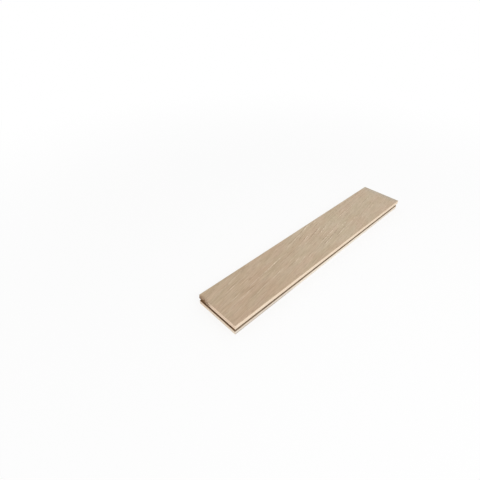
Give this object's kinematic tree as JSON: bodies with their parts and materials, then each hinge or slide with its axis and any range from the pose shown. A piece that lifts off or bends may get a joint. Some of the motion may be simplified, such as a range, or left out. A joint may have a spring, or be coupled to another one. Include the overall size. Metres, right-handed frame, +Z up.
{
  "type": "parquet block",
  "caption": "Long flat block of solid oak for a herringbone floor, grooved along one side and one end and tongued along the others so that neighbours lock flush.",
  "frame": {"origin": "middle of the underside, taken from the wear face's length and width and not from the tongues", "axes": "+X along the grain from the grooved end to the tongued end, +Y across the grain from the grooved side to the tongued side, +Z up out of the wear face"},
  "size_m": [0.5454, 0.0954, 0.022],
  "materials": {
    "oak": "matt, raw oak edges"
  },
  "bodies": {
    "root": {"parquet_block": "oak"}
  },
  "joints": []
}
